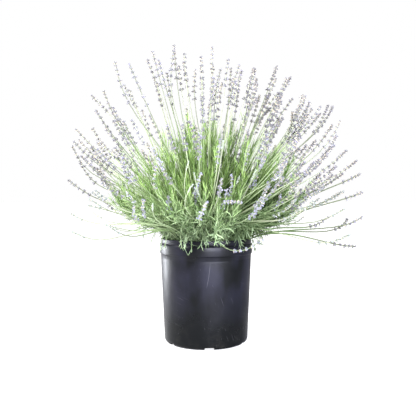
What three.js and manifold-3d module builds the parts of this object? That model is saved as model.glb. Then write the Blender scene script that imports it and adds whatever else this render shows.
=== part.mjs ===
// A lavender plant in a black plastic nursery pot. A pot with a double-banded rim and six corner
// drain holes holds potting soil. Leafy branches and flower sprays stand in the soil, each in its
// own hole, and fan out over the rim: leafy shoots low down, and above them bare stalks that each
// end in a spike of separate whorls. Millimetres, +Z up, origin in the middle of the pot's underside.
import * as THREE from "three";
import { mergeVertices } from "three/addons/utils/BufferGeometryUtils.js";
import Module from "manifold-3d";

const wasm = await Module();
wasm.setup();

const { PI, sin, cos, acos, sqrt, hypot, atan2, min, max } = Math;
const degrees = (angle) => (angle * PI) / 180;
const UP = new THREE.Vector3(0, 0, 1);

// The pot
const POT_HEIGHT = 240;
const RIM_RADIUS = 108; // the widest band, just under the lip
const LIP_RADIUS = 105.5;
const SHOULDER_RADIUS = 105; // top of the plain wall
const FOOT_RADIUS = 96.5; // bottom of the plain wall
const FOOT_CORNER = 11; // height and depth of the rounded foot
const WALL = 1.8;
const FLOOR = 2.2;
const BAND_TOP = 228;
const BAND_BOTTOM = 206;
const POT_SIDES = 32;
const DRAIN_HOLES = 6;
const DRAIN_WIDTH = 22;
const DRAIN_HEIGHT = 5.5;
const DRAIN_TURN = degrees(-85); // where the first one is, round from +X

// The soil
const SOIL_TOP = 212;
const SOIL_SIDES = 16;
const FLAT_SOIL = 54; // radius of the level middle
const GAP = 0.35; // between pieces that touch
const HOLE_DEPTH = 16;

// The plant. A branch is placed by its spot (u, v) in the crown, a disc of radius 1.
const CROWN_RADIUS = 46; // where the branches stand in the soil
const BRANCHES = 48; // in a sunflower spiral
const INNER_BRANCHES = 30; // every third of these is leafy, and every second of those round them
const GOLDEN_TURN = PI * (3 - sqrt(5));
const CROWN_TURN = degrees(300);
const DOME = 0.97; // the share of a half ball that the branches reach out to
const LEAN_AT_SOIL = 0.5; // share of a branch's lean with which it leaves the soil
const BEND_LENGTH = 150; // it takes this far to reach its full lean
const TIP_LIFT = 0.34; // share of its lean that a level stem gives back as its tip turns up
const LIFT_LENGTH = 110;
const TRUNK_RADIUS = 2.1;
const TURN_TRIES = 16; // ways to turn a branch's fork before the roomiest is taken
const ROOM_MARKS = [70, 110, 150, 200, 260, 320]; // along the stems, where room is measured

const STALK_REACH = 500; // length of the longest upright stalk
const STALK_REACH_LOST = 156; // how much shorter the most leaning ones are
const STALK_SPREAD = 0.17; // how far a side stalk leans off its branch, in crown radii
const STALK_RADIUS = 1.35;
const WHORL_GAPS = [17, 14.5, 12]; // from the lowest whorl up
const WHORL_RADIUS = 5.2;
const SPIKE_TIP = 15; // the last whorl and the point

const SHOOT_REACH = 308;
const SHOOT_REACH_LOST = 142;
const SHOOT_SPREAD = 0.19;
const SHOOT_RADIUS = 1.7;
const BARE_SHARE = 0.48; // of a shoot, below its leaves
const LEAF_RINGS = 3; // on a shoot, with three leaves on the top one and two on the others
const LEAF_LENGTH = 56;
const LEAF_HALF_WIDTH = 3.1;
const LEAF_THICKNESS = 1.7;
const LEAF_LEANS = [30, 20, 42].map(degrees); // off its shoot, the likeliest first
const LEAF_TURNS = [0, 16, -16, 32, -32, 46, -46].map(degrees);
const LEAF_CLEARANCE = 0.7; // from the next plant piece

// ---------- turned solids ----------

// A closed mesh as a solid that can be cut.
function solid(geometry) {
  const bare = new THREE.BufferGeometry()
    .setAttribute("position", geometry.getAttribute("position"))
    .setIndex(geometry.index);
  const merged = mergeVertices(bare, 1e-4);
  return new wasm.Manifold(
    new wasm.Mesh({
      numProp: 3,
      vertProperties: merged.attributes.position.array,
      triVerts: new Uint32Array(merged.index.array),
    }),
  );
}

function solidMesh(name, made, material) {
  const { numProp, numVert, vertProperties, triVerts } = made.getMesh();
  const points = new Float32Array(numVert * 3);
  for (let i = 0; i < numVert; i++)
    points.set(vertProperties.subarray(i * numProp, i * numProp + 3), i * 3);
  const geometry = new THREE.BufferGeometry()
    .setAttribute("position", new THREE.BufferAttribute(points, 3))
    .setIndex(new THREE.BufferAttribute(triVerts, 1));
  return namedMesh(name, geometry, material);
}

function namedMesh(name, geometry, material) {
  geometry.computeVertexNormals();
  const mesh = new THREE.Mesh(geometry, material);
  mesh.name = name;
  return mesh;
}

function turned(profile, sides) {
  const points = profile.map(([r, z]) => new THREE.Vector2(r, z));
  return new THREE.LatheGeometry(points, sides).rotateX(PI / 2);
}

// ---------- the pot and its soil ----------

function wallRadius(z) {
  return (
    FOOT_RADIUS + ((SHOULDER_RADIUS - FOOT_RADIUS) * z) / (BAND_BOTTOM - 2)
  );
}

function pot() {
  const foot = wallRadius(FOOT_CORNER);
  const outside = [
    [0, 0],
    [foot - FOOT_CORNER, 0],
    [foot - FOOT_CORNER * 0.35, FOOT_CORNER * 0.25],
    [foot, FOOT_CORNER],
    [SHOULDER_RADIUS, BAND_BOTTOM - 2],
    [RIM_RADIUS, BAND_BOTTOM],
    [RIM_RADIUS, BAND_TOP - 1.5],
    [LIP_RADIUS - 0.6, BAND_TOP],
    [LIP_RADIUS, POT_HEIGHT],
  ];
  const inside = [
    [LIP_RADIUS - WALL - 0.6, POT_HEIGHT],
    [SHOULDER_RADIUS - WALL, BAND_BOTTOM - 4],
    [foot - WALL, FOOT_CORNER + FLOOR],
    [foot - FOOT_CORNER, FLOOR],
    [0, FLOOR],
  ];
  let shell = solid(turned([...outside, ...inside], POT_SIDES));
  for (let i = 0; i < DRAIN_HOLES; i++) {
    const cutter = new THREE.BoxGeometry(24, DRAIN_WIDTH, DRAIN_HEIGHT * 2)
      .translate(FOOT_RADIUS - 2, 0, 0)
      .rotateZ(DRAIN_TURN + (2 * PI * i) / DRAIN_HOLES);
    shell = shell.subtract(solid(cutter));
  }
  return shell;
}

// Level where the branches stand, and uneven round them.
function soilHeight(x, y) {
  const uneven = hypot(x, y) > FLAT_SOIL + 1;
  return SOIL_TOP + (uneven ? 2 * sin(x / 17) * cos(y / 14) : 0);
}

function soil() {
  const bottom = FLOOR + GAP;
  const room = WALL + 1.2; // from the outside of the pot, for its flat sides
  const geometry = turned(
    [
      [0, bottom],
      [wallRadius(FOOT_CORNER) - FOOT_CORNER - 1.5, bottom],
      [wallRadius(FOOT_CORNER) - room, FOOT_CORNER + FLOOR + 1],
      [wallRadius(BAND_BOTTOM) - room - 0.5, SOIL_TOP - 6],
      [88, SOIL_TOP],
      [FLAT_SOIL, SOIL_TOP],
      [0, SOIL_TOP],
    ],
    SOIL_SIDES,
  );
  const place = geometry.getAttribute("position");
  for (let i = 0; i < place.count; i++)
    if (place.getZ(i) > SOIL_TOP - 1)
      place.setZ(i, soilHeight(place.getX(i), place.getY(i)));
  return solid(geometry);
}

// ---------- how the plant grows ----------

// A number from 0 to 1 that is the same every time for the same three numbers.
function chance(i, j, k) {
  const x = sin(i * 12.9898 + j * 78.233 + k * 37.719) * 43758.5453;
  return x - Math.floor(x);
}

function smooth(x) {
  const t = min(1, max(0, x));
  return t * t * (3 - 2 * t);
}

function crownSpot(branch) {
  const q = sqrt((branch + 0.5) / BRANCHES);
  const a = branch * GOLDEN_TURN + CROWN_TURN;
  return [q * cos(a), q * sin(a)];
}

// The point at a distance along a stem of the given length that grows from spot (u, v).
function stemPoint(u, v, distance, length) {
  const q = min(hypot(u, v), 1.2);
  const lean = acos(1 - DOME * q * q);
  const give = (TIP_LIFT * lean) / (PI / 2);
  const steps = 8;
  let [out, up] = [CROWN_RADIUS * q, SOIL_TOP];
  for (let i = 0; i < steps; i++) {
    const s = (distance * (i + 0.5)) / steps;
    const bend = LEAN_AT_SOIL + (1 - LEAN_AT_SOIL) * smooth(s / BEND_LENGTH);
    const lift = 1 - give * smooth(1 - (length - s) / LIFT_LENGTH);
    out += (sin(lean * bend * lift) * distance) / steps;
    up += (cos(lean * bend * lift) * distance) / steps;
  }
  const a = atan2(v, u);
  return new THREE.Vector3(out * cos(a), out * sin(a), up);
}

// One stem of a branch. The main one grows from the soil; a side one leaves it at a fork, in a
// way and by a spread given in crown radii.
class Stem {
  constructor(branch, fork, way, spread, length) {
    this.branch = branch;
    this.spot = crownSpot(branch);
    this.fork = fork;
    this.spread = [spread * cos(way), spread * sin(way)];
    this.length = length;
  }

  at(distance) {
    const [u, v] = this.spot;
    const [du, dv] = this.spread;
    const share = max(0, 1 - this.fork / max(distance, 1));
    return stemPoint(u + du * share, v + dv * share, distance, this.length);
  }

  path(distances) {
    return distances.map((distance) => this.at(distance));
  }

  direction(distance) {
    const ahead = this.at(distance + 2);
    return ahead.sub(this.at(distance - 2)).normalize();
  }

  // A way out from the middle of the stem, turned about it.
  side(distance, turn) {
    const [u, v] = this.spot;
    const along = this.direction(distance);
    const across = new THREE.Vector3(-v, u, 0).projectOnPlane(along);
    return across.normalize().applyAxisAngle(along, turn);
  }

  ring(distance, radius, turn) {
    return [0, 120, 240].map((corner) =>
      this.at(distance).addScaledVector(
        this.side(distance, turn + degrees(corner)),
        radius,
      ),
    );
  }
}

// Where a branch stands upright in the soil.
function rootRing(branch, radius, z) {
  const [u, v] = crownSpot(branch);
  const foot = new THREE.Vector3(u, v, 0).multiplyScalar(CROWN_RADIUS);
  const across = new THREE.Vector3(-v, u, 0).normalize();
  return [0, 120, 240].map((corner) =>
    across
      .clone()
      .applyAxisAngle(UP, degrees(corner))
      .multiplyScalar(radius)
      .add(foot)
      .setZ(z),
  );
}

// ---------- skins ----------

// A closed skin of triangles out of which limbs grow. A limb has three sides: it leaves through a
// triangle of the skin, runs through rings of three corners and ends in a point.
class Skin {
  points = [];
  faces = [];

  add(point) {
    return this.points.push(point) - 1;
  }

  // The flat end from which the first limb rises.
  foot(ring) {
    const corners = ring.map((point) => this.add(point));
    this.faces.push(corners.toReversed());
    return corners;
  }

  // Adds a ring with its corners in the order that twists least against the ring below.
  level(below, ring) {
    const corners = ring.map((point) => this.add(point));
    const twist = (shift) =>
      below.reduce(
        (sum, low, j) =>
          sum + this.points[low].distanceTo(ring[(j + shift) % 3]),
        0,
      );
    const shift = [0, 1, 2].sort((a, b) => twist(a) - twist(b))[0];
    return corners.map((_, j) => corners[(j + shift) % 3]);
  }

  // Each bud { level, toward, height } opens the facet above that level that faces it best.
  // Returns the triangles that they open, in the same order.
  limb(base, rings, tip, buds = []) {
    const levels = [base];
    for (const ring of rings) levels.push(this.level(levels.at(-1), ring));
    const end = this.add(tip);
    const doors = new Map();
    levels.forEach((low, i) => {
      const high = levels[i + 1];
      const facets = [0, 1, 2].map((j) => {
        const k = (j + 1) % 3;
        return high
          ? [low[j], low[k], high[k], high[j]]
          : [low[j], low[k], end];
      });
      for (const bud of buds.filter((b) => b.level === i)) {
        facets.sort((a, b) => this.facing(b, bud) - this.facing(a, bud));
        doors.set(bud, this.open(facets.shift(), bud.height));
      }
      for (const [a, b, c, d] of facets) {
        this.faces.push([a, b, c]);
        if (d !== undefined) this.faces.push([a, c, d]);
      }
    });
    return buds.map((bud) => doors.get(bud));
  }

  facing(facet, bud) {
    const [a, b, c] = facet.map((i) => this.points[i]);
    return new THREE.Triangle(a, b, c)
      .getNormal(new THREE.Vector3())
      .dot(bud.toward);
  }

  // Splits a facet round a new point just above its lower edge, and leaves out the triangle below.
  open(facet, height) {
    const [a, b, c, d = c] = facet.map((i) => this.points[i]);
    const low = a.clone().lerp(b, 0.5);
    const rise = c.clone().lerp(d, 0.5).sub(low);
    const peak = this.add(low.addScaledVector(rise.normalize(), height));
    for (let i = 1; i < facet.length; i++)
      this.faces.push([facet[i], facet[(i + 1) % facet.length], peak]);
    return [facet[0], facet[1], peak];
  }

  mesh(name, material) {
    const geometry = new THREE.BufferGeometry()
      .setFromPoints(this.points)
      .setIndex(this.faces.flat());
    return namedMesh(name, geometry, material);
  }
}

// The main stem of a branch and its side stems, in rounds one above the other. lengthOf gives the
// length of each stem from its number.
function stemsOf(branch, turn, kind) {
  const { forks, perFork, firstFork, spread, lengthOf } = kind;
  const sides = forks * perFork;
  const side = (j) => {
    const fork = firstFork(branch) + 24 * (j % forks);
    const way = turn + (2 * PI * j) / sides;
    return new Stem(branch, fork, way, spread, lengthOf(branch, j + 1));
  };
  const main = new Stem(branch, firstFork(branch), 0, 0, lengthOf(branch, 0));
  return [main, ...Array.from({ length: sides }, (_, j) => side(j))];
}

// Starts a branch's skin in its hole and grows its main stem, with buds for the side stems at the
// forks, and more buds as asked. Returns the skin and the triangles that the buds open.
function growBranch([main, ...sides], rings, moreBuds) {
  const skin = new Skin();
  const base = skin.foot(
    rootRing(main.branch, TRUNK_RADIUS, SOIL_TOP - HOLE_DEPTH),
  );
  const forks = [...new Set(sides.map((stem) => stem.fork))];
  const below = [
    rootRing(main.branch, TRUNK_RADIUS, SOIL_TOP),
    ...forks.map((fork) => main.ring(fork, TRUNK_RADIUS * 0.85, 0)),
  ];
  const sideBuds = sides.map((stem) => ({
    level: 2 + forks.indexOf(stem.fork),
    toward: stem.at(stem.fork + 40).sub(main.at(stem.fork + 40)),
    height: 8,
  }));
  const laterBuds = moreBuds.map((bud) => ({
    ...bud,
    level: below.length + bud.level,
  }));
  const doors = skin.limb(base, [...below, ...rings], main.at(main.length), [
    ...sideBuds,
    ...laterBuds,
  ]);
  return { skin, doors };
}

// ---------- flower sprays ----------

const sprayKind = {
  forks: 2,
  perFork: 2,
  firstFork: (branch) => 46 + 30 * chance(branch, 0, 7),
  spread: STALK_SPREAD,
  lengthOf: (branch, j) =>
    (STALK_REACH - STALK_REACH_LOST * hypot(...crownSpot(branch))) *
    (0.68 + 0.32 * chance(branch, j, 1) ** 0.6),
};

const SPIKE_LENGTH = WHORL_GAPS.reduce((a, b) => a + b) + SPIKE_TIP;

// The rings of a stalk above its forks: two on the stalk, then one round each whorl and one at
// each waist between them.
function stalkRings(stem) {
  const neck = stem.length - SPIKE_LENGTH;
  const rings = [
    stem.ring((stem.fork + neck) / 2, STALK_RADIUS, 0),
    stem.ring(neck, STALK_RADIUS * 0.85, 0),
  ];
  let at = neck;
  [...WHORL_GAPS, SPIKE_TIP].forEach((gap, i) => {
    const wide = WHORL_RADIUS * (1 - 0.08 * i);
    rings.push(stem.ring(at + gap * 0.4, wide, degrees(60 * i)));
    at += gap;
    if (i < WHORL_GAPS.length)
      rings.push(stem.ring(at, STALK_RADIUS, degrees(60 * i + 30)));
  });
  return rings;
}

function flowerSpray(name, stems) {
  const { skin, doors } = growBranch(stems, stalkRings(stems[0]), []);
  stems.slice(1).forEach((stem, i) => {
    skin.limb(doors[i], stalkRings(stem), stem.at(stem.length));
  });
  return skin.mesh(name, lavender);
}

// ---------- leafy branches ----------

const bushKind = {
  forks: 1,
  perFork: 3,
  firstFork: (branch) => 16 + 14 * chance(branch, 0, 7),
  spread: SHOOT_SPREAD,
  lengthOf: (branch, j) =>
    (SHOOT_REACH - SHOOT_REACH_LOST * hypot(...crownSpot(branch))) *
    (0.86 + 0.14 * chance(branch, j, 3)),
};

// Everything that stands in a leaf's way, as lines with a thickness.
const obstacles = [];

function addObstacle(points, radius, branch, ringName) {
  for (let i = 0; i + 1 < points.length; i++) {
    const line = new THREE.Line3(points[i], points[i + 1]);
    obstacles.push({ line, radius, branch, ringName });
  }
}

function addStalkObstacle(stem) {
  const neck = stem.length - SPIKE_LENGTH;
  const bare = [0, stem.fork, (stem.fork + neck) / 2, neck];
  addObstacle(stem.path(bare), TRUNK_RADIUS, stem.branch);
  addObstacle(stem.path([neck, stem.length]), WHORL_RADIUS, stem.branch);
}

function addShootObstacle(stem) {
  const marks = [0, stem.fork, ...leafDistances(stem), stem.length];
  addObstacle(stem.path(marks), TRUNK_RADIUS, stem.branch);
}

// Whether a leaf keeps clear of the pot, the soil, other branches and its own branch's leaves.
function isClear(line, branch, ringName) {
  const nearest = new THREE.Vector3();
  return [0.2, 0.33, 0.46, 0.6, 0.73, 0.86, 1].every((t) => {
    const point = onLine(line, t);
    const out = hypot(point.x, point.y);
    if (point.z < SOIL_TOP + 6 && out < RIM_RADIUS) return false;
    const overWall = out > LIP_RADIUS - WALL - 6 && out < RIM_RADIUS + 5;
    if (point.z < POT_HEIGHT + 4 && overWall) return false;
    return obstacles.every((other) => {
      if (other.branch === branch && !other.ringName) return true;
      if (other.ringName === ringName) return true;
      const apart = other.branch === branch ? 0 : LEAF_CLEARANCE;
      other.line.closestPointToPoint(point, true, nearest);
      const needed = other.radius + LEAF_HALF_WIDTH * 0.9 + apart;
      return nearest.distanceTo(point) > needed;
    });
  });
}

function onLine([root, middle, tip], t) {
  return t < 0.45
    ? root.clone().lerp(middle, t / 0.45)
    : middle.clone().lerp(tip, (t - 0.45) / 0.55);
}

// A leaf's middle line: it slants off the shoot and then curves back towards the shoot's way.
function leafLine(root, along, side, lean, length) {
  const bent = (angle) =>
    along.clone().multiplyScalar(cos(angle)).addScaledVector(side, sin(angle));
  const middle = root.clone().addScaledVector(bent(lean), length * 0.45);
  const tip = middle.clone().addScaledVector(bent(lean * 0.6), length * 0.55);
  return [root, middle, tip];
}

// The first leaf that fits at one side of a ring, or nothing.
function fitLeaf(stem, distance, turn, length, ringName) {
  const root = stem.at(distance);
  const along = stem.direction(distance);
  for (const lean of LEAF_LEANS)
    for (const shift of LEAF_TURNS) {
      const side = stem.side(distance, turn + shift);
      const line = leafLine(root, along, side, lean, length);
      if (isClear(line, stem.branch, ringName)) return { line, side };
    }
  return null;
}

const ringTurn = (i) => degrees(35 * i);

// How far along a shoot its rings of leaves are.
function leafDistances(stem) {
  return Array.from({ length: LEAF_RINGS }, (_, i) => {
    const share = BARE_SHARE + ((0.96 - BARE_SHARE) * i) / (LEAF_RINGS - 1);
    return stem.length * share;
  });
}

// The leaves of a shoot as { level, line, side }.
function leavesOf(stem, number) {
  return leafDistances(stem).flatMap((distance, i) => {
    const ringName = [stem.branch, number, i].join("-");
    const length = LEAF_LENGTH * (1.08 - (0.25 * distance) / stem.length);
    const isTop = i === LEAF_RINGS - 1;
    const fitting = [60, 180, 300]
      .filter((_, k) => isTop || k !== i)
      .map((turn) =>
        fitLeaf(stem, distance, ringTurn(i) + degrees(turn), length, ringName),
      )
      .filter(Boolean);
    for (const { line } of fitting)
      addObstacle(line, LEAF_HALF_WIDTH * 0.9, stem.branch, ringName);
    return fitting.map((leaf) => ({ ...leaf, level: i + 1 }));
  });
}

function shootRings(stem) {
  return leafDistances(stem).map((distance, i) =>
    stem.ring(distance, SHOOT_RADIUS, ringTurn(i)),
  );
}

const leafBud = ({ level, side }) => ({ level, toward: side, height: 3.5 });

// A narrow blade with a ridge along its upper side.
function growLeaf(skin, door, { line, side }) {
  const [root, middle, tip] = line;
  const along = tip.clone().sub(root).normalize();
  const flat = new THREE.Vector3().crossVectors(along, side).normalize();
  const above = new THREE.Vector3().crossVectors(along, flat).normalize();
  const blade = [
    middle.clone().addScaledVector(flat, -LEAF_HALF_WIDTH),
    middle.clone().addScaledVector(flat, LEAF_HALF_WIDTH),
    middle.clone().addScaledVector(above, LEAF_THICKNESS),
  ];
  skin.limb(door, [blade], tip);
}

function leafyBranch(name, stems, leaves) {
  const { skin, doors } = growBranch(
    stems,
    shootRings(stems[0]),
    leaves[0].map(leafBud),
  );
  const forks = doors.splice(0, stems.length - 1);
  leaves[0].forEach((leaf, i) => growLeaf(skin, doors[i], leaf));
  forks.forEach((fork, i) => {
    const stem = stems[i + 1];
    const own = leaves[i + 1];
    const buds = own.map(leafBud);
    const open = skin.limb(fork, shootRings(stem), stem.at(stem.length), buds);
    own.forEach((leaf, k) => growLeaf(skin, open[k], leaf));
  });
  return skin.mesh(name, leafGreen);
}

// ---------- the whole plant ----------

const plastic = new THREE.MeshStandardMaterial({
  color: 0x24252a,
  roughness: 0.42,
});
const earth = new THREE.MeshStandardMaterial({
  color: 0x3a2a1e,
  roughness: 0.95,
});
const leafGreen = new THREE.MeshStandardMaterial({
  color: 0x7ea35c,
  roughness: 0.7,
});
const lavender = new THREE.MeshStandardMaterial({
  color: 0x9a93b8,
  roughness: 0.8,
});

const branches = Array.from({ length: BRANCHES }, (_, branch) => branch);
const isLeafy = (branch) => branch % (branch < INNER_BRANCHES ? 3 : 2) === 1;

// Turns each branch's forks to where its side stems have the most room among the stems before.
function settle() {
  const marksOf = (stem) => stem.path(ROOM_MARKS);
  const kindOf = (branch) => (isLeafy(branch) ? bushKind : sprayKind);
  const settled = branches.map((branch) => ({
    branch,
    marks: marksOf(stemsOf(branch, 0, kindOf(branch))[0]),
  }));
  return branches.map((branch) => {
    const others = settled.filter((other) => other.branch !== branch);
    const tries = Array.from({ length: TURN_TRIES }, (_, i) => {
      const stems = stemsOf(branch, (PI * i) / TURN_TRIES, kindOf(branch));
      const marks = stems.slice(1).map(marksOf);
      const room = min(...marks.flatMap((mine) => others.map(apart(mine))));
      return { stems, marks, room };
    });
    const best = tries.reduce((a, b) => (b.room > a.room ? b : a));
    for (const marks of best.marks) settled.push({ branch, marks });
    return best.stems;
  });
}

const apart = (mine) => (other) =>
  min(...mine.map((point, i) => point.distanceTo(other.marks[i])));

const plant = settle();
const sprays = plant.filter((_, branch) => !isLeafy(branch));
const bushes = plant.filter((_, branch) => isLeafy(branch));
sprays.flat().forEach(addStalkObstacle);
bushes.flat().forEach(addShootObstacle);
const leaves = bushes.map((stems) => stems.map(leavesOf));

function soilWithHoles() {
  return branches.reduce((body, branch) => {
    const wide = TRUNK_RADIUS + 2 * GAP; // GAP from each of the trunk's three sides
    const hole = new Skin();
    const base = hole.foot(
      rootRing(branch, wide, SOIL_TOP - HOLE_DEPTH - GAP),
    );
    const top = rootRing(branch, wide, SOIL_TOP + 6);
    hole.limb(base, [top], top[0].clone().lerp(top[1], 0.5).setZ(SOIL_TOP + 9));
    return body.subtract(solid(hole.mesh("", earth).geometry));
  }, soil());
}

const pottedLavender = new THREE.Group();
const label = (name, i) => name + "_" + String(i + 1).padStart(2, "0");
pottedLavender.add(
  solidMesh("pot", pot(), plastic),
  solidMesh("potting_soil", soilWithHoles(), earth),
  ...sprays.map((stems, i) => flowerSpray(label("flower_spray", i), stems)),
  ...bushes.map((stems, i) =>
    leafyBranch(label("leafy_branch", i), stems, leaves[i]),
  ),
);

export default pottedLavender;
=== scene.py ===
"""A lavender plant in a black nursery pot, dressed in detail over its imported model.

The layout of the plant repeats the rules of the CAD source: branches stand in the soil in a
sunflower spiral, and each one's stems bend out along one family of curves. Metres, +Z up.
"""
from math import cos, pi, radians, sin

import bmesh
import bpy
import numpy as np
from bpy.props import FloatProperty, FloatVectorProperty, IntProperty, PointerProperty
from mathutils import Matrix, Vector, noise


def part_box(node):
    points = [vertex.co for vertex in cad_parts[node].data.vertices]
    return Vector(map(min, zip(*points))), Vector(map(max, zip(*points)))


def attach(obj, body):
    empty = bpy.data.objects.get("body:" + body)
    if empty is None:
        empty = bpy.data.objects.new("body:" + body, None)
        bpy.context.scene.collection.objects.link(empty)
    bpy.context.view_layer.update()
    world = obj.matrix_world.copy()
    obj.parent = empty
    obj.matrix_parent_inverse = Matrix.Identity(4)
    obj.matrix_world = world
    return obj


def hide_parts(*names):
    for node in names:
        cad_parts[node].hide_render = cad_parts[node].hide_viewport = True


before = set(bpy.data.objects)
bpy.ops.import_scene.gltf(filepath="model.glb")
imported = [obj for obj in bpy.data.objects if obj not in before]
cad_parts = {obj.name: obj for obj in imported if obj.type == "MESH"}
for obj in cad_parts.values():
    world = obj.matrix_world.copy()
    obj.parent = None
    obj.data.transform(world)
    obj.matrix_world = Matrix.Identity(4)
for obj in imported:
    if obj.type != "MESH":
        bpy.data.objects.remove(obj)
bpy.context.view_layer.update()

bl_info = {
    "name": "Potted Lavender",
    "version": (1, 0, 0),
    "blender": (4, 5, 0),
    "location": "3D View > Sidebar > Lavender",
    "description": "Models a lavender plant in a black nursery pot",
    "category": "Object",
}

# The pot, as in the CAD source
POT_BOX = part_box("pot")
POT_HEIGHT = POT_BOX[1].z
RIM_RADIUS = POT_BOX[1].x
LIP_RADIUS = 0.1055
SHOULDER_RADIUS = 0.105
FOOT_RADIUS = 0.0965
FOOT_CORNER = 0.011
WALL = 0.0018
FLOOR = 0.0022
RAISED = 0.0045  # the underside stands this far above the foot ring
BAND_BOTTOM = 0.206
DRAIN_HOLES = 6
DRAIN_WIDTH = 0.022
DRAIN_HEIGHT = 0.0063
DRAIN_TURN = radians(-85)

# The soil and the crown
SOIL_TOP = 0.212
HOLE_DEPTH = 0.016
CROWN_RADIUS = 0.046
BRANCHES = 48
INNER_BRANCHES = 30
GOLDEN_TURN = pi * (3 - 5**0.5)
CROWN_TURN = radians(300)

# The painted shade inside the plant is centred to the right of its middle, and leaves turn down over the
# rim
SHADE_CORE_X = 0.050
OVER_RIM = 0.262  # height where they turn
LOW_LEAVES = 0.36  # leaves below this are greyer, shorter and stand off their shoots more

# How the stems bend
DOME = 0.97
LEAN_AT_SOIL = 0.5
BEND_LENGTH = 0.150
TIP_LIFT = 0.34
LIFT_LENGTH = 0.110
BEND_STEPS = 8
TURN_TRIES = 16
ROOM_MARKS = (0.070, 0.110, 0.150, 0.200, 0.260, 0.320)

# Lengths and spreads of flower stalks and leafy shoots
STALK_REACH = 0.500
STALK_REACH_LOST = 0.156
STALK_SPREAD = 0.17
SPIKE_LENGTH = 0.0585
SHOOT_REACH = 0.308
SHOOT_REACH_LOST = 0.142
SHOOT_SPREAD = 0.19

UP = np.array((0.0, 0.0, 1.0))
SIDEWAYS = np.array((1.0, 0.0, 0.0))


# ---------- shader maths ----------


class Signal:
    """One socket of a material, so that shader maths reads as Python expressions."""

    def __init__(self, finish, socket):
        self.finish = finish
        self.socket = socket

    def maths(self, operation, *values):
        return self.finish.node("ShaderNodeMath", {"operation": operation}, dict(enumerate(values)))

    def __add__(self, other):
        return self.maths("ADD", self, other)

    def __sub__(self, other):
        return self.maths("SUBTRACT", self, other)

    def __rsub__(self, other):
        return self.maths("SUBTRACT", other, self)

    def __mul__(self, other):
        return self.maths("MULTIPLY", self, other)

    def __pow__(self, other):
        return self.maths("POWER", self, other)

    __radd__ = __add__
    __rmul__ = __mul__

    def size(self):
        return self.maths("ABSOLUTE", self)

    def clipped(self):
        return self.maths("MINIMUM", self.maths("MAXIMUM", self, 0), 1)

    def past(self, edge, steepness):
        """From 0 at an edge up to 1 beyond it, or below it where the steepness is negative."""
        return ((self - edge) * steepness).clipped()


class Graph:
    """The nodes of a material or of the world."""

    def __init__(self, owner):
        owner.use_nodes = True
        self.nodes = owner.node_tree.nodes
        self.links = owner.node_tree.links

    def node(self, kind, settings, sockets, output=0):
        """Adds a node with its settings, then the values or links of its sockets."""
        node = self.nodes.new(kind)
        for name, value in settings.items():
            if name == "stops":
                self.set_stops(node.color_ramp, value)
            else:
                setattr(node, name, value)
        for key, value in sockets.items():
            self.feed(node.inputs[key], value)
        return Signal(self, node.outputs[output])

    def set_stops(self, ramp, stops):
        while len(ramp.elements) < len(stops):
            ramp.elements.new(0.5)
        for element, (position, level) in zip(ramp.elements, stops):
            element.position = position
            element.color = (level, level, level, 1)

    def feed(self, socket, value):
        if isinstance(value, Signal):
            self.links.new(value.socket, socket)
        else:
            socket.default_value = value

    def parts(self, vector):
        """The X, Y and Z of a vector."""
        return [self.node("ShaderNodeSeparateXYZ", {}, {0: vector}, name) for name in "XYZ"]


class Finish(Graph):
    """A procedural material on a Principled shader, patterned by its place on the object."""

    def __init__(self, name, **constants):
        self.material = bpy.data.materials.new(name)
        super().__init__(self.material)
        self.shader = self.nodes["Principled BSDF"]
        for socket, value in constants.items():
            self.shader.inputs[socket.replace("_", " ")].default_value = value
        self.place = self.node("ShaderNodeTexCoord", {}, {}, "Object")

    def painted_inner_shade(self):
        """Painted shade inside the plant: how deep inside it a place is, from 0 outside to 1. Its shaded
        core is off centre.
        """
        x, y, height = self.parts(self.place)
        aside = x - SHADE_CORE_X
        rise = height - SOIL_TOP
        hanging = height.past(OVER_RIM, -25)
        # Painted shade mask: deep inside is 1 and darkens the colour, less where leaves hang over the
        # rim
        return (1.32 - (aside * aside + y * y) * 30 - rise * rise * 12 - hanging * 0.5).clipped()

    def attribute(self, name):
        return self.node("ShaderNodeAttribute", {"attribute_name": name}, {}, "Fac")

    def speckle(self, scale, detail=2.0, place=None):
        """Smooth noise, with its features about 1/scale metres apart."""
        sockets = {"Vector": place or self.place, "Scale": scale, "Detail": detail}
        return self.node("ShaderNodeTexNoise", {}, sockets, "Fac")

    def stretched(self, lengths, turn=(0, 0, 0)):
        """Places turned, then divided by lengths in metres, for patterns longer one way."""
        sockets = {"Vector": self.place, "Scale": lengths, "Rotation": turn}
        return self.node("ShaderNodeMapping", {"vector_type": "TEXTURE"}, sockets)

    def ramp(self, value, *stops):
        return self.node("ShaderNodeValToRGB", {"stops": stops}, {"Fac": value})

    def blend(self, share, first, second, way="MIX"):
        """A colour between two colours."""
        first, second = (c if isinstance(c, Signal) else (*c, 1) for c in (first, second))
        settings = {"data_type": "RGBA", "blend_type": way}
        return self.node("ShaderNodeMix", settings, {0: share, 6: first, 7: second}, 2)

    def finish(self, colour, roughness, height, depth):
        """Links the colour and roughness, and a bump of a depth in metres."""
        self.feed(self.shader.inputs["Base Color"], colour)
        self.feed(self.shader.inputs["Roughness"], roughness)
        sockets = {"Strength": 1.0, "Distance": depth, "Height": height}
        self.feed(self.shader.inputs["Normal"], self.node("ShaderNodeBump", {}, sockets))
        return self.material


SCRATCH_WIDTH = 0.0005


def scratch(f, top, bottom, start, slope, bow):
    """A thin pale line down the front of the wall, between two heights."""
    x, y, z = f.parts(f.place)
    fall = top - z
    off = (x - (fall * slope + fall * fall * bow + start)).size()
    line = off.past(SCRATCH_WIDTH, -1 / SCRATCH_WIDTH)
    return line * z.past(top, -80) * z.past(bottom, 80) * y.past(0, -50)


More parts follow.
